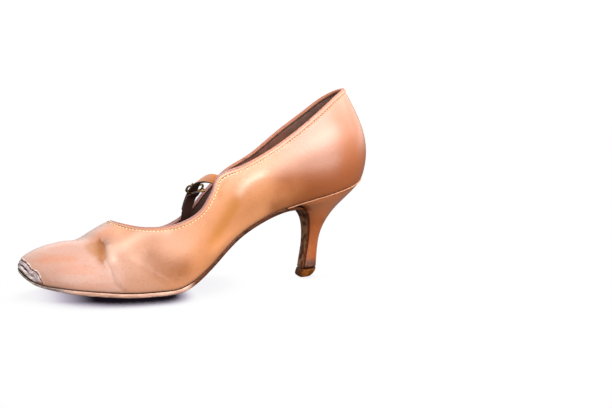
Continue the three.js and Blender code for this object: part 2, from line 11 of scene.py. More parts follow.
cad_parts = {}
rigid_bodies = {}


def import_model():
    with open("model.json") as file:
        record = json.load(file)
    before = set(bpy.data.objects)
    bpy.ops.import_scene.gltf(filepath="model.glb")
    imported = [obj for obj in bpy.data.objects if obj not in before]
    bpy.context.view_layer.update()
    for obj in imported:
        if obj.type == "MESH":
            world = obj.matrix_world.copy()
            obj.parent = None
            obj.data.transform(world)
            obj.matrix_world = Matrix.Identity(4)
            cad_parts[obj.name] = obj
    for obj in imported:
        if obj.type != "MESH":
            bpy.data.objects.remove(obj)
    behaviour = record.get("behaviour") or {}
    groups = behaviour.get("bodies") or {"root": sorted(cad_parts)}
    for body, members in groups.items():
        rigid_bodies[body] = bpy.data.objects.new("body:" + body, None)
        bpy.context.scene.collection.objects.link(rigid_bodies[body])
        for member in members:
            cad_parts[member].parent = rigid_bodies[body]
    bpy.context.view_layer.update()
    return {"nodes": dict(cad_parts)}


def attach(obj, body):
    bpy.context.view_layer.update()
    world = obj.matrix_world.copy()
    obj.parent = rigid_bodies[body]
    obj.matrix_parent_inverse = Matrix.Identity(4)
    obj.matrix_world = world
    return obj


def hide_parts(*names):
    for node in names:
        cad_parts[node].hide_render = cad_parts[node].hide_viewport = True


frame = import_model()

# Insole sock
# A thin dark leather sock glued over the insole board, from the toes to the back of the heel.
# It is the first piece on the last, and the foot has polished and darkened it.
MM = 0.001
MERGE_DISTANCE = 0.01 * MM
QUAD_BEND = math.radians(50)  # largest bend between two triangles that become one quad
QUAD_SKEW = math.radians(70)
SHARP_BEND = math.radians(50)  # edges that bend more than this stay crisp
EDGE_CREASE = 0.8
ROUNDING = 2  # levels of subdivision
SOCK_SPREAD = 1.3 * MM  # the rim presses into the wall, so that no gap shows beside it
SOCK_RIM_LEAN = 0.6  # faces whose normals lean less than this up or down are the rim's


def only(piece):
    """Selects this piece alone."""
    bpy.ops.object.select_all(action="DESELECT")
    piece.select_set(True)
    bpy.context.view_layer.objects.active = piece


def open_whole():
    """Opens the active piece in edit mode with all of it selected."""
    bpy.ops.object.mode_set(mode="EDIT")
    bpy.ops.mesh.select_all(action="SELECT")


def open_faces(piece, chosen):
    """Opens the active piece in edit mode with the chosen faces selected."""
    bpy.ops.object.mode_set(mode="EDIT")
    bpy.ops.mesh.select_mode(type="FACE")
    bpy.ops.mesh.select_all(action="DESELECT")
    bpy.ops.object.mode_set(mode="OBJECT")
    piece.data.polygons.foreach_set("select", chosen)
    bpy.ops.object.mode_set(mode="EDIT")


def close_piece():
    """Leaves edit mode."""
    bpy.ops.object.mode_set(mode="OBJECT")


def round_out(piece, levels):
    """Rounds the active piece's faces out by subdivision."""
    rounding = piece.modifiers.new("rounding", "SUBSURF")
    rounding.levels = levels
    rounding.render_levels = levels
    bpy.ops.object.modifier_apply(modifier="rounding")
    bpy.ops.object.shade_smooth()


def merged_copy(node, name):
    """A copy of a solid with its loose triangles joined and paired into quads."""
    only(frame["nodes"][node])
    bpy.ops.object.duplicate()
    piece = bpy.context.active_object
    bpy.ops.object.parent_clear(type="CLEAR_KEEP_TRANSFORM")
    piece.name = name
    for key in list(piece.keys()):
        del piece[key]
    piece.data.materials.clear()
    bpy.ops.mesh.customdata_custom_splitnormals_clear()
    open_whole()
    bpy.ops.mesh.remove_doubles(threshold=MERGE_DISTANCE)
    bpy.ops.mesh.tris_convert_to_quads(face_threshold=QUAD_BEND, shape_threshold=QUAD_SKEW)
    close_piece()
    return piece


def smooth_copy(node, name, crisp_edges=False):
    """A copy of a solid with its faces rounded out, and its sharp edges kept or rounded with them."""
    piece = merged_copy(node, name)
    if crisp_edges:
        open_whole()
        bpy.ops.mesh.select_all(action="DESELECT")
        bpy.ops.mesh.select_mode(type="EDGE")
        bpy.ops.mesh.edges_select_sharp(sharpness=SHARP_BEND)
        bpy.ops.transform.edge_crease(value=EDGE_CREASE)
        close_piece()
    round_out(piece, ROUNDING)
    return piece


class Shade:
    """A socket of a material's nodes. Arithmetic on values adds Math nodes."""

    def __init__(self, tree, socket):
        self.tree = tree
        self.socket = socket

    def node(self, kind, settings, sockets, output=0):
        """Adds a node with its settings and the values or links of its sockets, and gives one output."""
        made = self.tree.nodes.new("ShaderNode" + kind)
        for name, value in settings.items():
            setattr(made, name, value)
        for name, value in sockets.items():
            if isinstance(value, Shade):
                self.tree.links.new(value.socket, made.inputs[name])
            else:
                made.inputs[name].default_value = value
        return Shade(self.tree, made.outputs[output])

    def math(self, operation, *values):
        """One Math node on the values."""
        return self.node("Math", {"operation": operation}, dict(enumerate(values)))

    def __add__(self, other):
        return self.math("ADD", self, other)

    def __sub__(self, other):
        return self.math("SUBTRACT", self, other)

    def __rsub__(self, other):
        return self.math("SUBTRACT", other, self)

    def __mul__(self, other):
        return self.math("MULTIPLY", self, other)

    __radd__ = __add__
    __rmul__ = __mul__

    def ramp(self, low, high):
        """0 below low, 1 above high, with a soft step between them. Low may be the larger."""
        ends = {"Value": self, "From Min": low, "From Max": high}
        return self.node("MapRange", {"interpolation_type": "SMOOTHSTEP"}, ends)

    def mix(self, first, second):
        """A colour that goes from the first to the second as this value goes from 0 to 1."""
        return self.node("Mix", {"data_type": "RGBA"}, {0: self, 6: first, 7: second}, output=2)

    def noise(self, size, detail=2, stretch=(1, 1, 1)):
        """Soft noise at these coordinates, with features of a size in metres."""
        place = self.node("VectorMath", {"operation": "DIVIDE"}, {0: self, 1: stretch})
        return self.node("TexNoise", {}, {"Vector": place, "Scale": 1 / size, "Detail": detail})

    def cells(self, size, feature="F1"):
        """Distance in a pattern of cells of a size in metres."""
        return self.node("TexVoronoi", {"feature": feature}, {"Vector": self, "Scale": 1 / size})

    def axis(self, name):
        """One coordinate of these."""
        return self.node("SeparateXYZ", {}, {0: self}, output="XYZ".index(name))

    def mask(self, name):
        """A mask painted on the piece's points."""
        return self.node("Attribute", {"attribute_name": name}, {}, output=2)

    def bump(self, strength, depth):
        """A normal from this height, with a depth in metres."""
        return self.node("Bump", {}, {"Strength": strength, "Distance": depth, "Height": self})


def colour(red, green, blue):
    """A colour as it reads on screen, for the nodes."""
    shares = [value / 255 for value in (red, green, blue)]
    linear = [v / 12.92 if v <= 0.04045 else ((v + 0.055) / 1.055) ** 2.4 for v in shares]
    return (*linear, 1)


def new_material(name, roughness, coat=0, coat_roughness=0.3):
    """A material with its shader, and the object's own coordinates to make patterns from."""
    material = bpy.data.materials.new(name)
    material.use_nodes = True
    tree = material.node_tree
    shader = tree.nodes["Principled BSDF"]
    shader.inputs["Roughness"].default_value = roughness
    shader.inputs["Coat Weight"].default_value = coat
    shader.inputs["Coat Roughness"].default_value = coat_roughness
    place = tree.nodes.new("ShaderNodeTexCoord")
    return material, shader, Shade(tree, place.outputs["Object"])


def feed(node, socket, shade):
    """Links a pattern to an input of a shader."""
    shade.tree.links.new(shade.socket, node.inputs[socket])


def worn_leather(name, pale, tan, dark, grain, roughness):
    """Finished leather: colour mottled between three tones, fine grain, and gloss rubbed by handling."""
    material, shader, place = new_material(name, roughness)
    mottle = place.noise(0.011, detail=4)
    base = mottle.ramp(0.35, 0.75).mix(tan, pale)
    base = place.noise(0.0035, detail=5).ramp(0.62, 0.85).mix(base, dark)
    feed(shader, "Base Color", base)
    feed(shader, "Roughness", roughness - 0.06 + 0.12 * mottle)
    height = place.cells(grain, "SMOOTH_F1") * 0.6 + place.noise(3 * grain, detail=3)
    feed(shader, "Normal", height.bump(0.25, 0.4 * grain))
    return material


def finish_piece(piece, slot, *nodes):
    """The piece rides on the shoe and stands for its solids. Its slot is not used."""
    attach(piece, "root")
    if nodes:
        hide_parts(*nodes)


sock = smooth_copy("insole", "sock", crisp_edges=True)
open_faces(sock, [abs(face.normal.z) < SOCK_RIM_LEAN for face in sock.data.polygons])
bpy.ops.transform.shrink_fatten(value=SOCK_SPREAD)
close_piece()
sock_leather = worn_leather(
    "sock leather",
    pale=colour(150, 112, 98),
    tan=colour(120, 84, 72),
    dark=colour(86, 58, 50),
    grain=0.7 * MM,
    roughness=0.6,
)
sock.data.materials.append(sock_leather)
finish_piece(sock, "sock_leather", "insole")

# Upper
# Soft tan leather with a dark lining, lasted as one shell and open at the topline.
# Wear has dented the vamp, creased it across the ball, stained the inner side and torn the toe.
VAMP_END = -8
TOE_END = -92
SEAT_SLOPE = 0.325  # rise of the heel seat towards the back
LINE_STEPS = 4
# a line inside the shoe that the outside of the shell faces away from, lowered under the vamp's roof
CORE_FRONT, CORE_BACK = -95, 85
CORE_MIDDLE = -2
CORE_HEIGHT = 14
CORE_ROOF_END = -20
# lines on the leather, from the top down
LINES = {
    "dent edge": [(-66.1, -23.1, 34), (-64.9, -27.7, 30.7), (-64.4, -30.7, 27.5), (-64.9, -32.1, 25.3)],
    "dent front": [(-72.6, -20.6, 32.2), (-71.6, -23.9, 30.4), (-69.6, -27.6, 28)],
    "top crease": [
        (-80, 4, 31.5), (-77.5, -4, 33.6), (-73.7, -11.9, 34.6), (-70.5, -18.8, 34.2),
        (-67.1, -22.5, 33.6),
    ],
    "main crease": [
        (-64.9, -32.1, 25.3), (-62.7, -35.1, 21.1), (-61.5, -36.6, 18), (-60.8, -37.7, 14.6),
        (-59.6, -38.5, 10.4), (-56.8, -39, 7.3), (-54.5, -39.2, 5.1),
    ],
    "dent ridge": [(-62.7, -28.7, 30.7), (-62.5, -31.8, 26.9), (-61.4, -34.1, 23.6)],
    "throat ridge": [
        (-62.1, -33.3, 24.7), (-59.7, -30.9, 29.7), (-54.6, -30.8, 31.8), (-46.4, -28.2, 35.9),
        (-37.4, -28.4, 39.2), (-28.7, -31, 39.4),
    ],
    "ball ridge": [
        (-58.2, -32.5, 28.4), (-54, -34.8, 25.6), (-48.4, -36.8, 22.4), (-42.3, -38.6, 18.7),
        (-36.6, -39.4, 14.6), (-27.5, -38.9, 8.7),
    ],
    "ball trough": [
        (-40.4, -36.4, 24.6), (-39.2, -38, 20.7), (-37.1, -38.7, 18.1), (-33.5, -39.2, 14.6),
        (-29.7, -39.1, 12.5), (-24.4, -38.4, 11.5),
    ],
    "low hollow": [(-50.9, -39.5, 10), (-45.7, -39.8, 9.1), (-39.7, -39.8, 8.7)],
    "outer crease": [(-70, 10, 32), (-60, 24, 26), (-54, 33, 17), (-52, 37, 9)],
    "outer trough": [(-48, 22, 29), (-40, 32, 22), (-34, 37, 14), (-30, 38.5, 8)],
    "trough shade": [(-36.1, -37.7, 21.5), (-30.3, -38.3, 18.3), (-24.1, -37.8, 17.8), (-19.2, -37.2, 16.8)],
    "wing ridge": [(33.2, -30.1, 71.1), (25.9, -30.7, 67.6), (21.2, -31.2, 64), (18.5, -31.4, 60.5)],
    "ochre": [(15.3, -31.1, 53.5), (10.8, -31.1, 46.2), (2.1, -32.2, 32.2)],
    "leftover": [(-104, -24.3, 10.6), (-100, -27.1, 10.3)],
    "quarter highlight": [
        (25.8, -30.8, 67.6), (35.3, -29.9, 74.2), (49.5, -28.8, 81.2), (59.8, -28.1, 86.4),
        (69.6, -27.3, 92), (82.7, -25.5, 98.3),
    ],
    "wing stain": [(9.6, -31.5, 70.6), (6.3, -32.2, 65.8), (4.8, -32.7, 60.3)],
    "toe band": [(-99.4, -21.7, 23.7), (-91.5, -24.7, 24.4), (-83.7, -27.3, 24.4)],
    "blush": [(-67.2, -16.2, 37.1), (-61.4, -19, 39), (-56, -21, 39.6)],
    "waist light": [
        (4.4, -30.2, 28.1), (14.4, -26.5, 34), (23.5, -24.2, 39.1), (34.7, -24.3, 46.3),
    ],
    "ball shade": [(-36, -36.7, 23.8), (-31.4, -37.7, 20.7), (-26, -38, 17.9), (-20.4, -37.4, 16.9)],
}
# line, height (a trough is below zero), half width on the toe's side and on the heel's side
FOLDS = [
    ("dent edge", -0.6, 5.5, 1.4),
    ("dent front", -0.5, 5, 5),
    ("top crease", -1.7, 6, 5),
    ("main crease", -0.25, 1.1, 1.1),
    ("dent ridge", 0.2, 1.8, 3),
    ("throat ridge", 0.35, 3.5, 3.5),
    ("ball ridge", 0.12, 2.8, 1.6),
    ("ball trough", -0.15, 1.6, 6),
    ("low hollow", -0.15, 5, 5),
    ("wing ridge", 0.5, 3, 3),
    ("outer crease", -0.6, 3, 3),
    ("outer trough", -0.5, 3, 3),
]
TEAR_LINE = [
    (-105.5, 12.5, 11), (-107.5, 9.5, 16.5), (-110, 5, 20.5), (-112, -1, 22.8), (-112, -8.5, 22.9),
    (-109.6, -15.4, 22.1), (-107.5, -19.9, 19.7), (-106.4, -21.5, 18.4), (-103.4, -24.3, 16.9),
    (-102.2, -25.9, 13.8), (-100.2, -27.4, 9.5), (-99.2, -28, 6),
]
TEAR_SIDE = -14  # the tear runs across the toe above this Y, and down the inner side below it
TEAR_RAGGED = 0.35
TEAR_RAGGED_SIZE = 2.2
# into the tear from its lip, height of the surface there
TEAR_STEPS = [
    (-1, 0), (-0.4, 0.15), (-0.1, 0.1), (0.2, -0.65), (0.9, -0.6), (1.2, -0.3), (2.7, -0.35),
    (5, -0.3), (9, -0.35),
]
SLIT_MIDDLE, SLIT_HALF_WIDTH, SLIT_DEPTH = 3.4, 0.5, 0.7  # a split in the stiffener, into the tear
SLIT_START, SLIT_FULL = -23.4, -21.6  # it fades out between these two Y
SLIT_RAGGED_SIZE = 6
UNTORN = -9  # depth into the tear that whole leather gets


def smooth_line(rows, steps, closed=False):
    """Points along a smooth line through the rows, with the same number of steps to every span."""
    rows = np.array(rows, float)
    if closed:
        rows = np.vstack([rows[-1:], rows, rows[:2]])
    else:
        rows = np.vstack([2 * rows[:1] - rows[1:2], rows, 2 * rows[-1:] - rows[-2:-1]])
    line = []
    for before, start, end, after in zip(rows, rows[1:], rows[2:], rows[3:]):
        lead = np.linalg.norm(start - before) ** 0.5
        span = np.linalg.norm(end - start) ** 0.5
        trail = np.linalg.norm(after - end) ** 0.5
        leave = span * ((start - before) / lead - (end - before) / (lead + span) + (end - start) / span)
        arrive = span * ((end - start) / span - (after - start) / (span + trail) + (after - end) / trail)
        for t in np.arange(steps) / steps:
            bend = leave * (t - 1) ** 2 * t + arrive * (t - 1) * t * t
            line.append(start + (end - start) * (3 - 2 * t) * t * t + bend)
    if not closed:
        line.append(rows[-2])
    return np.array(line)


def line_distance(points, line):
    """Each point's distance from a line, below zero on the toe's side of a line that runs down."""
    nearest = np.full(len(points), np.inf)
    side = np.ones(len(points))
    for start, end in zip(line, line[1:]):
        along = end - start
        share = np.clip((points - start) @ along / (along @ along), 0, 1)
        offset = points - start - share[:, None] * along
        distance = np.linalg.norm(offset, axis=1)
        turn = np.sign(along[0] * offset[:, 2] - along[2] * offset[:, 0])
        side = np.where(distance < nearest, turn, side)
        nearest = np.minimum(nearest, distance)
    return nearest * side


def mound(distance, width):
    """1 at no distance, falling smoothly to almost 0 at twice the width."""
    return np.exp(-((distance / width) ** 2))


def outward(points, normals):
    """1 on the outside of the shell and -1 on its lining."""
    core = points.copy()
    core[:, 0] = np.clip(points[:, 0], CORE_FRONT, CORE_BACK)
    core[:, 1] = CORE_MIDDLE
    roofed = points[:, 0] < CORE_ROOF_END
    core[roofed, 2] = np.minimum(points[roofed, 2], CORE_HEIGHT)
    return np.where(np.sum((points - core) * normals, axis=1) < 0, -1, 1)


def read_points(piece, field="co"):
    """The places of the piece's points in millimetres, or their normals."""
    table = np.empty(3 * len(piece.data.vertices))
    piece.data.vertices.foreach_get(field, table)
    table = table.reshape(-1, 3)
    return table / MM if field == "co" else table


def outer_faces(piece):
    """The middle of each face in millimetres, and whether it is on the outside."""
    middles = np.array([face.center for face in piece.data.polygons]) / MM
    leans = np.array([face.normal for face in piece.data.polygons])
    return middles, outward(middles, leans) > 0


def split_faces(piece, end):
    """Splits the outside's faces in front of an end into four, for finer forms there."""
    middles, outside = outer_faces(piece)
    open_faces(piece, outside & (middles[:, 0] < end))
    bpy.ops.mesh.subdivide(number_cuts=1)
    close_piece()


def paint(piece, name, values):
    """Keeps a value at each point of the piece, for its material to read."""
    mask = piece.data.attributes.new(name, "FLOAT", "POINT")
    mask.data.foreach_set("value", values.astype(np.float32))


def ragged(points, size):
    """Uneven values between about -1 and 1, at each point, that change over a size in millimetres."""
    return np.array([noise.noise(Vector(point) / size) for point in points])


upper = smooth_copy("upper", "upper_shell")
split_faces(upper, VAMP_END)
split_faces(upper, TOE_END)
points = read_points(upper)
normals = read_points(upper, "normal")
side = outward(points, normals)

distances = {
    name: line_distance(points, smooth_line(line, LINE_STEPS)) for name, line in LINES.items()
}


def trace(name, toe_width, heel_width):
    """1 on a named line, falling to 0 at about its half width on each side."""
    distance = distances[name]
    return mound(distance, np.where(distance < 0, toe_width, heel_width))


height = sum(fold_height * trace(name, *widths) for name, fold_height, *widths in FOLDS)

tear_line = smooth_line(TEAR_LINE, LINE_STEPS)
tear_front = np.interp(points[:, 1], tear_line[::-1, 1], tear_line[::-1, 0])
tear = -line_distance(points, tear_line)
across_toe = points[:, 1] > TEAR_SIDE
tear = np.where(across_toe, np.abs(tear) * np.where(points[:, 0] < tear_front, 1, -1), tear)
tear += TEAR_RAGGED * ragged(points, TEAR_RAGGED_SIZE)
at_toe = (side > 0) * (points[:, 0] < TOE_END)
slit = np.clip((points[:, 1] - SLIT_START) / (SLIT_FULL - SLIT_START), 0, 1)
slit *= np.clip(0.8 + 1.2 * ragged(points, SLIT_RAGGED_SIZE), 0, 1)
step_height = np.interp(tear, *np.transpose(TEAR_STEPS))
step_height -= SLIT_DEPTH * slit * mound(tear - SLIT_MIDDLE, SLIT_HALF_WIDTH)
height = np.where(at_toe & (tear > 0), 0, height) + at_toe * step_height

places = MM * (points + (side * height)[:, None] * normals)
upper.data.vertices.foreach_set("co", places.ravel())
upper.data.update()

# mask, and the lines it follows with their half widths
MASKS = {
    "dent": [("dent edge", 6, 1)],
    "smudge": [("dent front", 4.5, 4.5)],
    "crease": [("main crease", 0.8, 0.8), ("outer crease", 1, 1)],
    "trough shade": [("ball trough", 3, 5), ("trough shade", 5, 5)],
    "rub and highlight": [("dent ridge", 1.6, 1.6), ("throat ridge", 4, 4), ("wing ridge", 2.5, 2.5)],
    "painted sheen": [("quarter highlight", 6, 6)],
    "blush": [("blush", 7, 7)],
    "toe band": [("toe band", 3, 3)],
    "ball shade": [("ball shade", 9, 9)],
    "waist light": [("waist light", 6, 6)],
    "ochre": [("ochre", 5.5, 4.5), ("wing stain", 2.5, 2.5)],
    "leftover": [("leftover", 0.9, 0.9)],
}
for mask, rows in MASKS.items():
    paint(upper, mask, np.clip(sum(trace(*row) for row in rows), 0, 1))
paint(upper, "tear", np.where(at_toe, tear, UNTORN))
paint(upper, "slit", slit)

TAN = colour(152, 82, 33)
HONEY = colour(184, 120, 76)
PINK = colour(174, 134, 118)
SIDE_TAN = colour(166, 118, 92)
DEEP = colour(118, 58, 22)
OCHRE = colour(164, 102, 38)
APRICOT = colour(200, 138, 106)
BALL_SHADE = colour(140, 80, 38)
WAIST_LIGHT = colour(234, 158, 106)
OLIVE = colour(138, 78, 20)
SMUDGE = colour(156, 104, 62)
BROWN = colour(126, 74, 36)
DIRT = colour(98, 58, 36)
RUB_AND_HIGHLIGHT = colour(212, 175, 152)
SCUFF = colour(176, 112, 80)
CARD = colour(150, 132, 132)
PALE_CARD = colour(190, 172, 170)
FRAY = colour(236, 224, 218)
SLIT_SHADE = colour(52, 34, 32)
TEAR_SHADE = colour(112, 80, 66)
upper_leather, shader, place = new_material("upper leather", 0.42, coat=0.8, coat_roughness=0.33)
shader.inputs["Specular IOR Level"].default_value = 0.3
cloud = place.noise(0.024, detail=3)
fine = place.noise(0.003, detail=5)
# the finish from the back to the toe: tan, honey, then worn pale and pink
along = place.axis("X") + 0.04 * cloud
base = along.ramp(0.085, 0.045).mix(TAN, HONEY)
above_seat = place.axis("Z") - SEAT_SLOPE * place.axis("X") - 0.008 * cloud
# painted shade: the quarter is deeper in colour low down, above the heel's seat
base = (0.7 * above_seat.ramp(0.068, 0.032) * along.ramp(0.05, 0.085)).mix(base, DEEP)
# painted highlight: the quarter is paler along its top
base = (0.2 * above_seat.ramp(0.07, 0.095)).mix(base, RUB_AND_HIGHLIGHT)
worn = along.ramp(0.02, -0.025)
base = worn.mix(base, SIDE_TAN)
base = along.ramp(-0.03, -0.048).mix(base, PINK)
# scuffs and blushes of the vamp, painted shade on the inner side behind the ball, and dirt all over
scuff = place.noise(0.006, detail=5, stretch=(5, 2, 1)).ramp(0.48, 0.62)
base = (0.35 * scuff * along.ramp(-0.03, -0.06)).mix(base, SCUFF)
base = (0.5 * place.mask("toe band")).mix(base, SCUFF)
base = (0.8 * place.mask("blush")).mix(base, APRICOT)
base = (0.7 * place.mask("ball shade")).mix(base, BALL_SHADE)
base = (0.2 * cloud.ramp(0.5, 0.8)).mix(base, DEEP)
base = (0.16 * place.noise(0.0014, detail=3).ramp(0.5, 0.75)).mix(base, DIRT)
# stains, painted shade, rubbed ridges and painted highlights, then darker along the creases
base = (0.8 * (place.mask("ochre") + 0.35 * fine).ramp(0.15, 1.3)).mix(base, OCHRE)
# painted shade in the trough behind the ball
base = (0.65 * place.mask("trough shade") * (0.4 + fine)).mix(base, BROWN)
base = (0.7 * (place.mask("smudge") + 0.3 * fine).ramp(0.35, 1.1)).mix(base, SMUDGE)
base = (0.9 * (place.mask("dent") + 0.2 * fine).ramp(0.3, 1)).mix(base, OLIVE)
# ridges rubbed pale, with painted highlights on them
base = (0.4 * place.mask("rub and highlight")).mix(base, RUB_AND_HIGHLIGHT)
# a painted highlight along the quarter
base = (0.2 * place.mask("painted sheen")).mix(base, RUB_AND_HIGHLIGHT)
# a painted pool of light low on the waist
base = (0.45 * place.mask("waist light")).mix(base, WAIST_LIGHT)
base = (place.mask("crease") * (0.05 + 0.45 * fine)).mix(base, DIRT)

# the torn toe: card under the leather, in strips that follow the lip, with a frayed edge, and painted
# shade under the lip and in the splits
tear_depth = place.mask("tear")
ragged_depth = tear_depth + 0.8 * (fine - 0.5)
slit_strength = place.mask("slit")


def strip(middle, half_width):
    """A band of the tear at a distance from its lip."""
    return ragged_depth.math("ABSOLUTE", ragged_depth - middle).ramp(half_width, 0.5 * half_width)


card = fine.ramp(0.4, 0.6).mix(CARD, PALE_CARD)
card = (slit_strength * strip(5, 0.9)).mix(card, FRAY)
card = strip(0.4, 0.6).mix(card, TEAR_SHADE)
card = (slit_strength * strip(SLIT_MIDDLE, 0.7)).mix(card, SLIT_SHADE)
card = (slit_strength * strip(6.3, 0.5)).mix(card, TEAR_SHADE)
card = place.mask("leftover").mix(card, BROWN)
base = (tear_depth.ramp(-0.65, -0.35) * place.noise(0.006).ramp(0.4, 0.5)).mix(base, FRAY)
torn = tear_depth.ramp(-0.1, 0.15)
base = torn.mix(base, card)
feed(shader, "Base Color", base)
feed(shader, "Roughness", 0.36 + 0.12 * cloud + 0.1 * worn + 0.4 * torn)
polish = (0.9 - 0.5 * worn) * (1 - 0.8 * place.mask("ball shade"))
feed(shader, "Coat Weight", polish * (1 - torn))
wrinkled = 0.25 + place.mask("smudge") + place.mask("crease")
wrinkles = place.noise(0.006, detail=4, stretch=(1, 1, 2.2)) * wrinkled
grain = place.cells(0.0006, "SMOOTH_F1") * 0.15 + place.noise(0.002, detail=3) * 0.2
feed(shader, "Normal", (wrinkles + grain).bump(0.4, 0.0006))

lining_leather, shader, place = new_material("lining leather", 0.7)
lining = place.noise(0.008, detail=4).ramp(0.3, 0.75).mix(colour(86, 50, 36), colour(122, 78, 60))
grip = (place.axis("Z") + 0.01 * place.noise(0.006)).ramp(0.098, 0.108)
lining = (0.6 * grip).mix(lining, colour(112, 84, 74))
# painted shade: the lining is darker towards the front, inside the instep
lining = place.axis("X").ramp(0.03, 0.01).mix(lining, colour(58, 28, 14))
feed(shader, "Base Color", lining)
feed(shader, "Normal", place.noise(0.0012, detail=4).bump(0.4, 0.0004))
upper.data.materials.append(upper_leather)
upper.data.materials.append(lining_leather)
_, outside = outer_faces(upper)
upper.data.polygons.foreach_set("material_index", (~outside).astype(np.int32))
finish_piece(upper, "upper_leather", "upper")

# Topline binding
# A strip of soft leather folded over the edge of the opening, with a leg down each side of the wall.
# It is sewn through both legs and the wall.
TOPLINE = [
    (-59.63, -6.1, 43.6), (-55.13, -16.7, 42.6), (-40.13, -26.9, 40), (-21.63, -32.1, 41.6),
    (-7.13, -33.5, 48.8), (1.37, -33.1, 60.8), (6.07, -31.7, 70.8), (22.37, -29.9, 76.9),
    (40.37, -27.9, 86), (59.57, -24.8, 98.4), (76.67, -20.9, 111.1), (88.37, -15.9, 119.8),
    (96.27, -9.9, 124.5), (99.67, -2.1, 125.9), (96.27, 5.7, 124.5), (88.37, 11.8, 119.8),
    (76.67, 16.9, 110.4), (59.37, 21.1, 96.8), (40.87, 24.3, 81.2), (23.87, 26.3, 70.6),
    (10.37, 27.9, 57.4), (1.07, 28.5, 46.6), (-9.63, 27.3, 38), (-23.13, 23.3, 33.4),
    (-40.13, 14.9, 35.8), (-55.13, 4.5, 40.9),
]
TOPLINE_STEPS = 8
# out from the wall's outer face, up from its edge
BINDING_PROFILE = [
    (0.02, -1), (0.1, -0.4), (0.16, 0.2), (0.18, 0.8), (0.42, 1), (0.5, 1.4), (0.3, 1.85), (-0.2, 2.1),
    (-0.9, 2.2), (-1.6, 2.1), (-2.1, 1.75), (-2.25, 1), (-2.1, 0.2), (-1.9, -0.6), (-1.6, -0.4),
    (-1.5, 0.3), (-0.9, 0.5), (-0.3, 0.3), (-0.25, -0.6),
]
FLUSH_FACES = range(3)  # spans of the profile that lie flush with the upper and look like it
# painted shade: the binding's inner leg takes the lining's dark leather
SHADED_INNER_FACES = range(11, 14)  # spans on the inside that look like the lining
BINDING_ROUNDING = 1
WALL_NEAR, WALL_FAR = 2, 7  # the wall between these distances from the edge gives its lean there
LEAN_SMOOTHINGS = 4


def unit(rows):
    """The rows as directions of length 1."""
    return rows / np.linalg.norm(rows, axis=1)[:, None]


edge = smooth_line(TOPLINE, TOPLINE_STEPS, closed=True)
edge_along = unit(np.roll(edge, -1, axis=0) - np.roll(edge, 1, axis=0))
wall_points = points[side > 0]
wall_normals = normals[side > 0]
edge_out = np.empty_like(edge)
edge_down = np.empty_like(edge)
for i, spot in enumerate(edge):
    offsets = wall_points - spot
    distance = np.linalg.norm(offsets, axis=1)
    near = (distance > WALL_NEAR) & (distance < WALL_FAR)
    edge_out[i] = wall_normals[near].mean(axis=0)
    edge_down[i] = offsets[near].mean(axis=0)
for _ in range(LEAN_SMOOTHINGS):
    edge_out = edge_out + np.roll(edge_out, 1, axis=0) + np.roll(edge_out, -1, axis=0)
edge_out -= edge_along * np.sum(edge_out * edge_along, axis=1)[:, None]
edge_out = unit(edge_out)
edge_rise = np.cross(edge_along, edge_out)
edge_rise *= -np.sign(np.sum(edge_rise * edge_down, axis=1))[:, None]

profile = np.array(BINDING_PROFILE)
swept = edge[:, None] + profile[:, :1] * edge_out[:, None] + profile[:, 1:] * edge_rise[:, None]
rows, columns = len(edge), len(profile)
quads = []
for i in range(rows):
    here = i * columns
    there = (i + 1) % rows * columns
    for j in range(columns):
        after = (j + 1) % columns
        quads.append((here + j, there + j, there + after, here + after))
binding_mesh = bpy.data.meshes.new("edge_binding")
binding_mesh.from_pydata((MM * swept).reshape(-1, 3).tolist(), [], quads)
binding = bpy.data.objects.new("edge_binding", binding_mesh)
bpy.context.scene.collection.objects.link(binding)
only(binding)
open_whole()
bpy.ops.mesh.normals_make_consistent(inside=False)
close_piece()
for number, face in enumerate(binding.data.polygons):
    column = number % columns
    face.material_index = (column in FLUSH_FACES) + 2 * (column in SHADED_INNER_FACES)
round_out(binding, BINDING_ROUNDING)
binding_leather, shader, place = new_material("binding leather", 0.5, coat=0.1)
mottle = place.noise(0.005, detail=4)
along = place.axis("X") + 0.02 * mottle
bound = along.ramp(-0.045, -0.025).mix(colour(154, 100, 78), colour(152, 106, 98))
bound = along.ramp(0.02, 0.04).mix(bound, colour(176, 112, 86))
bound = mottle.ramp(0.55, 0.8).mix(bound, colour(122, 76, 62))
feed(shader, "Base Color", bound)
feed(shader, "Normal", place.noise(0.0015, detail=4).bump(0.3, 0.0003))
binding.data.materials.append(binding_leather)
binding.data.materials.append(upper_leather)
binding.data.materials.append(lining_leather)
paint(binding, "tear", np.full(len(binding.data.vertices), UNTORN))
finish_piece(binding, "binding_leather", "topline_binding")

# Stitching
# One row of waxed thread just under the binding, all round the opening.
# The machine pulls each stitch half into the leather. The thread is cream in front and tan at the back.
STITCH_LENGTH = 1.5
STITCH_PITCH = 2.2
STITCH_RADIUS = 0.32
STITCH_DROP = 1.3
STITCH_LIFT = 0.1 * MM
skin_faces = [tuple(face.vertices) for face, shown in zip(upper.data.polygons, outside) if shown]
upper_skin = BVHTree.FromPolygons([vertex.co for vertex in upper.data.vertices], skin_faces)


def even_spots(line, pitch):
    """Places at an even pitch round a closed line."""
    closed = np.vstack([line, line[:1]])
    steps = np.linalg.norm(np.diff(closed, axis=0), axis=1)
    reach = np.concatenate([[0], np.cumsum(steps)])
    count = round(reach[-1] / pitch)
    stops = np.arange(count) / count * reach[-1]
    return np.column_stack([np.interp(stops, reach, column) for column in closed.T])


thread, shader, place = new_material("waxed thread", 0.7)
thread_tone = place.noise(0.004).mix(colour(246, 222, 180), colour(226, 190, 140))
thread_tone = place.axis("X").ramp(0.012, 0.03).mix(thread_tone, colour(224, 166, 120))
feed(shader, "Base Color", thread_tone)

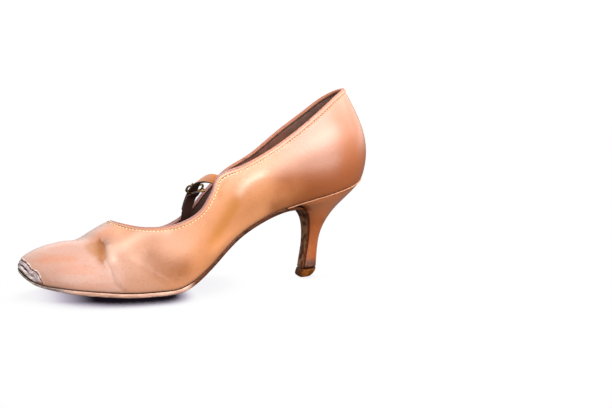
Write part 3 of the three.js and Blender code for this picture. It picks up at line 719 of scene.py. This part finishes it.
bpy.ops.object.select_all(action="DESELECT")
bpy.ops.mesh.primitive_uv_sphere_add(segments=8, ring_count=6, radius=MM)
stitch = bpy.context.active_object
open_whole()
bpy.ops.transform.resize(value=(STITCH_LENGTH / 2, STITCH_RADIUS, STITCH_RADIUS))
close_piece()
bpy.ops.object.shade_smooth()
stitch.data.materials.append(thread)
spots = even_spots(edge - STITCH_DROP * edge_rise, STITCH_PITCH)
row = []
for i, spot in enumerate(spots):
    touch, lean, _, _ = upper_skin.find_nearest(Vector(MM * spot))
    along = Vector(spots[(i + 1) % len(spots)] - spots[i - 1])
    along = (along - along.dot(lean) * lean).normalized()
    turn = Matrix((along, lean.cross(along), lean)).transposed().to_4x4()
    copy = stitch.copy()
    copy.data = stitch.data.copy()
    copy.data.transform(Matrix.Translation(touch + STITCH_LIFT * lean) @ turn)
    bpy.context.scene.collection.objects.link(copy)
    row.append(copy)
bpy.data.objects.remove(stitch)
only(row[0])
for copy in row:
    copy.select_set(True)
bpy.ops.object.join()
stitches = row[0]
stitches.name = "topline_stitches"
finish_piece(stitches, "binding_leather")

# Outsole
# Chrome suede cut from one sheet, cemented under the shoe and run down the breast of the heel.
# Its cut edge is pale at the ball, trimmed dark under the arch and frayed grey at the toe.
FLAP_START, FLAP_FOOT = 50, 10  # the flap's end is behind this X and below this height
FLAP_DROP = 0.6  # it is pressed down against the heel's tip
EDGE_LEAN = 0.5  # faces that lean more than this to the side or forwards are the cut edge's
TOE_EDGE_END = -90 * MM
outsole = smooth_copy("outsole", "suede_sole", crisp_edges=True)
sole_points = read_points(outsole)
flap_end = (sole_points[:, 0] > FLAP_START) & (sole_points[:, 2] < FLAP_FOOT)
sole_points[flap_end, 2] -= FLAP_DROP
outsole.data.vertices.foreach_set("co", (MM * sole_points).ravel())
outsole.data.update()
sole_suede, shader, place = new_material("sole suede", 0.95)
shader.inputs["Specular IOR Level"].default_value = 0.1
nap = place.noise(0.0015, detail=5)
streak = place.noise(0.006, detail=4, stretch=(6, 1, 6))
suede = nap.ramp(0.3, 0.7).mix(colour(64, 42, 34), colour(98, 70, 58))
suede = (0.6 * streak.ramp(0.58, 0.72)).mix(suede, colour(158, 136, 128))
breast = place.noise(0.005, detail=5).ramp(0.42, 0.6).mix(colour(166, 116, 84), colour(92, 54, 32))
suede = place.axis("X").ramp(0.035, 0.05).mix(suede, breast)
feed(shader, "Base Color", suede)
feed(shader, "Normal", nap.bump(0.5, 0.0005))
sole_edge, shader, place = new_material("sole edge", 0.8)
shader.inputs["Specular IOR Level"].default_value = 0.1
fibres = place.noise(0.002, detail=5, stretch=(4, 4, 1))
pale_edge = fibres.ramp(0.35, 0.65).mix(colour(178, 136, 116), colour(212, 170, 150))
dark_edge = fibres.ramp(0.35, 0.65).mix(colour(58, 30, 16), colour(92, 50, 28))
frayed_edge = fibres.ramp(0.4, 0.6).mix(colour(142, 120, 110), colour(196, 180, 172))
along = place.axis("X")
edge_colour = (along + 0.01 * fibres).ramp(-0.012, -0.004).mix(pale_edge, dark_edge)
edge_colour = (along + 0.02 * fibres).ramp(-0.07, -0.085).mix(edge_colour, frayed_edge)
feed(shader, "Base Color", edge_colour)
feed(shader, "Normal", fibres.bump(0.5, 0.0005))
outsole.data.materials.append(sole_suede)
outsole.data.materials.append(sole_edge)
for face in outsole.data.polygons:
    side_face = abs(face.normal.y) > EDGE_LEAN
    toe_face = face.normal.x < -EDGE_LEAN and face.center.x < TOE_EDGE_END
    face.material_index = int(side_face or toe_face)
finish_piece(outsole, "sole_suede", "outsole")

# Heel
# A moulded block covered in smooth leather that is drawn tight round it and dyed darker than the upper.
# Knocks have darkened its foot.
heel = smooth_copy("heel", "covered_heel", crisp_edges=True)
heel_leather, shader, place = new_material("heel leather", 0.34, coat=0.5, coat_roughness=0.2)
heel_cloud = place.noise(0.01, detail=4, stretch=(1, 1, 2.5))
heel_base = heel_cloud.ramp(0.35, 0.7).mix(colour(136, 68, 26), colour(152, 80, 36))
above_floor = place.axis("Z")
# painted light: the heel is paler towards its top
heel_base = above_floor.ramp(0.036, 0.05).mix(heel_base, colour(190, 110, 62))
foot = (above_floor - 0.006 * place.noise(0.004, detail=4)).ramp(0.0115, 0.006)
heel_base = (0.85 * foot).mix(heel_base, colour(62, 36, 24))
knocks = place.noise(0.0025, detail=5) * above_floor.ramp(0.03, 0.012)
heel_base = knocks.ramp(0.56, 0.66).mix(heel_base, colour(112, 66, 40))
feed(shader, "Base Color", heel_base)
feed(shader, "Roughness", 0.28 + 0.14 * heel_cloud + 0.2 * foot)
feed(shader, "Normal", (place.noise(0.002, detail=4) + 0.4 * heel_cloud).bump(0.15, 0.0004))
heel.data.materials.append(heel_leather)
finish_piece(heel, "heel_leather", "heel")

# Heel tip
# A moulded amber plastic top piece, pinned into the heel's foot.
# Walking has worn its back edge round, and grime has darkened the joint above it.
tip = smooth_copy("heel_tip", "top_piece")
tip_plastic, shader, place = new_material("tip plastic", 0.6)
shader.inputs["Specular IOR Level"].default_value = 0.1
grime = place.noise(0.0022, detail=5)
tip_base = grime.ramp(0.35, 0.65).mix(colour(74, 34, 1), colour(106, 54, 6))
tip_base = (place.axis("Z") + 0.002 * grime).ramp(0.0062, 0.0068).mix(tip_base, colour(44, 22, 12))
feed(shader, "Base Color", tip_base)
feed(shader, "Roughness", 0.5 + 0.2 * grime)
feed(shader, "Normal", grime.bump(0.3, 0.0004))
tip.data.materials.append(tip_plastic)
finish_piece(tip, "tip_plastic", "heel_tip")

# Seat cord
# A thin cord of rolled leather, cemented round the seat from one end of the breast to the other.
# It is pressed into the seam between the upper and the heel and hides it.
CORD_SQUEEZE = (0.985, 0.985, 1)
CORD_LIFT = 0.25 * MM
cord = smooth_copy("heel_seat_cord", "seat_cord")
open_whole()
bpy.ops.transform.resize(value=CORD_SQUEEZE)
bpy.ops.transform.translate(value=(0, 0, CORD_LIFT))
close_piece()
cord_leather = worn_leather(
    "cord leather",
    pale=colour(190, 130, 92),
    tan=colour(176, 114, 76),
    dark=colour(150, 92, 60),
    grain=0.5 * MM,
    roughness=0.75,
)
cord.data.materials.append(cord_leather)
finish_piece(cord, "seat_cord", "heel_seat_cord")

# Strap and tab
# Two narrow bands of the upper's leather with a dark lining, cut straight and creased at the edges.
# The strap is sewn inside the inner side of the shoe, and the tab folds round the bar of the buckle.
BAND_CORE = MM * Vector((5, -2, 40))  # the middle of the foot under the strap
BAND_FACING = 0.5  # faces that face away from it less than this are lined
BAND_EDGE = 0.35 * MM
EDGE_STEPS = 3
SMOOTH_BEND = math.radians(40)


def soft_edged_copy(node, name, width):
    """A copy of a solid with its sharp edges rounded over a width."""
    piece = merged_copy(node, name)
    edges = piece.modifiers.new("edges", "BEVEL")
    edges.width = width
    edges.segments = EDGE_STEPS
    edges.limit_method = "ANGLE"
    edges.angle_limit = SHARP_BEND
    bpy.ops.object.modifier_apply(modifier="edges")
    bpy.ops.object.shade_smooth_by_angle(angle=SMOOTH_BEND)
    return piece


strap_leather = worn_leather(
    "strap leather",
    pale=colour(200, 122, 60),
    tan=colour(186, 108, 48),
    dark=colour(140, 78, 36),
    grain=0.6 * MM,
    roughness=0.55,
)
strap_lining = worn_leather(
    "strap lining",
    pale=colour(62, 32, 24),
    tan=colour(46, 20, 14),
    dark=colour(28, 10, 6),
    grain=0.6 * MM,
    roughness=0.6,
)
for node, name in [("instep_strap", "strap_band"), ("buckle_tab", "tab_band")]:
    band = soft_edged_copy(node, name, BAND_EDGE)
    band.data.materials.append(strap_leather)
    band.data.materials.append(strap_lining)
    for face in band.data.polygons:
        away = (face.center - BAND_CORE).normalized()
        face.material_index = int(face.normal.dot(away) < BAND_FACING)
    finish_piece(band, "strap_leather", node)

# Buckle and ring
# Small brass castings, tumbled smooth and dulled by wear.
# The tab holds the buckle by its centre bar, and the ring hangs inside the outer wall.
CASTING_EDGE = 0.3 * MM
brass, shader, place = new_material("dull brass", 0.3)
shader.inputs["Metallic"].default_value = 1
feed(shader, "Base Color", place.noise(0.002).mix(colour(132, 98, 50), colour(80, 54, 26)))
for node, name in [("buckle_frame", "buckle"), ("buckle_prong", "prong"), ("collar_ring", "ring")]:
    casting = soft_edged_copy(node, name, CASTING_EDGE)
    casting.data.materials.append(brass)
    finish_piece(casting, "buckle_brass", node)

# Floor
# A plain pale floor that runs out of sight and glows white to the camera.
# A soft shadow is painted into its glow: deep where the ball of the shoe touches it and pale under the
# raised toe and arch.
FLOOR_SIZE = 12
SHADOW_REACH = 32 * MM
bpy.ops.object.select_all(action="DESELECT")
bpy.ops.mesh.primitive_plane_add(size=FLOOR_SIZE)
floor = bpy.context.active_object
floor.name = "floor"
floor_paint, _, place = new_material("floor paint", 0.7)
towards_back = place.node("CombineXYZ", {}, {0: 0.1, 1: 0.55, 2: 0.83})
nearby = {"Distance": SHADOW_REACH, "Normal": towards_back}
open_sky = place.node("AmbientOcclusion", {"samples": 16}, nearby, output="AO")
along = place.axis("X")
under_ball = along.ramp(-0.108, -0.05) * along.ramp(-0.01, -0.034)
shadow = open_sky.ramp(0.97, 0.4) * (0.12 + 0.88 * under_ball)
floor_tone = shadow.ramp(0, 0.4).mix((1, 1, 1, 1), colour(200, 190, 206))
floor_tone = shadow.ramp(0.2, 0.75).mix(floor_tone, colour(24, 16, 24))
shown = place.node("Emission", {}, {"Color": floor_tone, "Strength": 1})
bounce = place.node("BsdfDiffuse", {}, {"Color": (0.1, 0.1, 0.1, 1)})
seen = place.node("LightPath", {}, {}, output="Is Camera Ray")
paint_layers = place.node("MixShader", {}, {0: seen, 1: bounce, 2: shown})
feed(place.tree.nodes["Material Output"], "Surface", paint_layers)
floor.data.materials.append(floor_paint)

# Studio light
# A large softbox high on the right of the camera is the main light, with a smaller one beside it.
# Two low strips fill the side that faces the camera, and weak lights behind and beside it lift its edges.
# The room is pale, and whiter to the camera than to the leather.
ROOM_LIGHT, ROOM_SEEN = 0.5, 1.1
world = bpy.data.worlds.new("pale room")
bpy.context.scene.world = world
world.use_nodes = True
room = world.node_tree
backdrop = room.nodes["Background"]
backdrop.inputs["Color"].default_value = (1, 1, 1, 1)
seen = room.nodes.new("ShaderNodeLightPath")
strength = room.nodes.new("ShaderNodeMapRange")
strength.inputs["To Min"].default_value = ROOM_LIGHT
strength.inputs["To Max"].default_value = ROOM_SEEN
room.links.new(seen.outputs["Is Camera Ray"], strength.inputs["Value"])
room.links.new(strength.outputs[0], backdrop.inputs["Strength"])


def softbox(name, place, target, width, height, power):
    """A rectangle of light that faces a target."""
    light = bpy.data.lights.new(name, "AREA")
    light.shape = "RECTANGLE"
    light.size = width
    light.size_y = height
    light.energy = power
    holder = bpy.data.objects.new(name, light)
    bpy.context.scene.collection.objects.link(holder)
    holder.location = place
    holder.rotation_euler = (Vector(target) - Vector(place)).to_track_quat("-Z", "Y").to_euler()


softbox("right softbox", (0.8, -0.8, 1.19), (0.03, 0, 0.06), 2.3, 1.2, 42)
softbox("front softbox", (0.3, -1.2, 0.9), (0.03, 0, 0.06), 1, 0.6, 16)
softbox("low front strip", (-0.6, -1.2, 0.25), (0, 0, 0.04), 0.9, 0.4, 5)
softbox("right strip", (0.57, -1.35, 0.3), (0.02, 0, 0.06), 0.9, 0.35, 7)
softbox("back softbox", (-0.3, 1.3, 0.8), (0, 0, 0.05), 1.6, 1, 9)
softbox("right side", (1.2, 0.3, 0.6), (0.05, 0, 0.07), 1, 0.8, 5)

# Camera
# It stands over half a metre from the inner side, a little lower than the back of the topline.
# It looks slightly down and towards the heel, which keeps the shoe in the left of the frame.
CAMERA_PLACE = MM * Vector((-116.18, -549.1, 112))
CAMERA_TURN = 19.0
CAMERA_DIP = 6.2
LENS_LENGTH, SENSOR_WIDTH = 50.5, 36
lens = bpy.data.cameras.new("camera")
lens.lens = LENS_LENGTH
lens.sensor_width = SENSOR_WIDTH
camera = bpy.data.objects.new("camera", lens)
bpy.context.scene.collection.objects.link(camera)
camera.location = CAMERA_PLACE
camera.rotation_euler = (math.radians(90 - CAMERA_DIP), 0, math.radians(-CAMERA_TURN))
bpy.context.scene.camera = camera
bpy.context.scene.view_settings.view_transform = "Standard"
